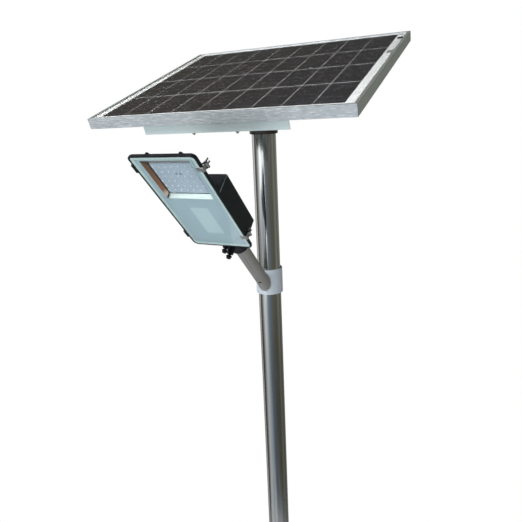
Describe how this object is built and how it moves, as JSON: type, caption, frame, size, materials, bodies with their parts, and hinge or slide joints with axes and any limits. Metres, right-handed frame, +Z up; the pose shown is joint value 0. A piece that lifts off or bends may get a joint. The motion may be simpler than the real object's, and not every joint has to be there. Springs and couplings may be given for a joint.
{
  "type": "solar street lamp",
  "caption": "Pole-mounted solar lamp: tilting framed panel on a swivel socket, sloping arm on a collar, and a shallow lamp head with a hinged, latched glass cover.",
  "frame": {"origin": "centre of the base plate's underside, on the pole axis", "axes": "+Z up the pole; X along the panel's long edge; -Y towards the lamp head and the panel's low edge"},
  "size_m": [0.78, 0.8454, 3.1945],
  "materials": {
    "galvanised": "satin grey coating",
    "pole_steel": "polished stainless steel",
    "socket_steel": "satin dark brown-grey",
    "bracket_steel": "zinc plated",
    "fastener_steel": "zinc plated",
    "black_rubber": "matte",
    "collar_paint": "satin light blue-grey",
    "arm_paint": "satin taupe-grey",
    "rack_aluminium": "mill finish",
    "frame_aluminium": "clear anodised",
    "panel_glass": "textured solar glass",
    "silicon": "dark cells under glass",
    "white_sheet": "white",
    "black_plastic": "moulded",
    "black_casting": "black powder coat",
    "lamp_glass": "clear tempered",
    "mask_paint": "satin pale grey-green",
    "reflector_sheet": "polished",
    "board_white": "white solder mask on aluminium",
    "phosphor": "yellow phosphor",
    "lens_acrylic": "clear moulded",
    "spreader_aluminium": "machined",
    "cell_wrap": "shrink sleeve",
    "strap_nylon": "woven nylon",
    "brass": "turned",
    "circuit_board": "green solder mask",
    "component_black": "moulded",
    "terminal_green": "moulded",
    "stainless": "spring stainless"
  },
  "bodies": {
    "pole": {"base_plate": "galvanised", "base_gussets": "galvanised", "pole_tube": "pole_steel"},
    "panel_mount": {"mount_socket": "socket_steel", "socket_cap": "socket_steel", "socket_bolts": "fastener_steel", "socket_nuts": "fastener_steel", "wire_grommet": "black_rubber", "tilt_yoke": "bracket_steel", "lock_bolt": "fastener_steel", "lock_nut": "fastener_steel"},
    "panel": {"tilt_plates": "bracket_steel", "pivot_bolt": "fastener_steel", "pivot_nut": "fastener_steel", "cross_members": "rack_aluminium", "front_rail": "rack_aluminium", "rear_rail": "rack_aluminium", "rack_bolts": "fastener_steel", "rack_nuts": "fastener_steel", "frame_front": "frame_aluminium", "frame_rear": "frame_aluminium", "frame_left": "frame_aluminium", "frame_right": "frame_aluminium", "frame_corner_keys": "frame_aluminium", "panel_glass": "panel_glass", "solar_cells": "silicon", "cell_encapsulant": "white_sheet", "panel_back_sheet": "white_sheet", "junction_box": "black_plastic", "junction_lid": "black_plastic", "junction_glands": "black_plastic"},
    "arm": {"arm_collar": "collar_paint", "arm_tube": "arm_paint", "collar_bolts": "fastener_steel", "collar_nuts": "fastener_steel"},
    "lamp": {"lamp_housing": "black_casting", "lamp_spigot": "black_casting", "clamp_bolts": "fastener_steel", "housing_gasket": "black_rubber", "hinge_pins": "stainless", "latch_pins": "stainless", "mask_sheet": "mask_paint", "mask_screws": "fastener_steel", "reflector": "reflector_sheet", "led_board": "board_white", "led_chips": "phosphor", "lens_array": "lens_acrylic", "heat_spreader": "spreader_aluminium", "battery_cells": "cell_wrap", "battery_tray": "black_plastic", "battery_straps": "strap_nylon", "board_standoffs": "brass", "controller_board": "circuit_board", "controller_parts": "component_black", "terminal_block": "terminal_green"},
    "cover": {"cover_frame": "black_casting", "cover_glass": "lamp_glass", "latch_strikes": "stainless"},
    "latch_top": {"upper_latch": "stainless"},
    "latch_bottom": {"lower_latch": "stainless"}
  },
  "joints": [
    {"name": "mount_swivel", "type": "hinge", "parent": "pole", "child": "panel_mount", "pos_m": [0, 0, 2.93], "axis": [0, 0, 1], "range_deg": [-180, 180]},
    {"name": "panel_tilt", "type": "hinge", "parent": "panel_mount", "child": "panel", "pos_m": [0, 0, 3], "axis": [1, 0, 0], "range_deg": [-20, 25]},
    {"name": "arm_swivel", "type": "hinge", "parent": "pole", "child": "arm", "pos_m": [0, 0, 2.424], "axis": [0, 0, 1], "range_deg": [-180, 180]},
    {"name": "lamp_roll", "type": "hinge", "parent": "arm", "child": "lamp", "pos_m": [0, -0.24382, 2.63449], "axis": [0, -0.6947, 0.7193], "range_deg": [-90, 90]},
    {"name": "cover_hinge", "type": "hinge", "parent": "lamp", "child": "cover", "pos_m": [-0.098, -0.418, 2.74432], "axis": [0, 0.6947, -0.7193], "range_deg": [0, 100]},
    {"name": "upper_latch_turn", "type": "hinge", "parent": "lamp", "child": "latch_top", "pos_m": [0.098, -0.50737, 2.85125], "axis": [0, -0.6947, 0.7193], "range_deg": [0, 26]},
    {"name": "lower_latch_turn", "type": "hinge", "parent": "lamp", "child": "latch_bottom", "pos_m": [0.098, -0.31912, 2.65631], "axis": [0, -0.6947, 0.7193], "range_deg": [0, 26]}
  ]
}
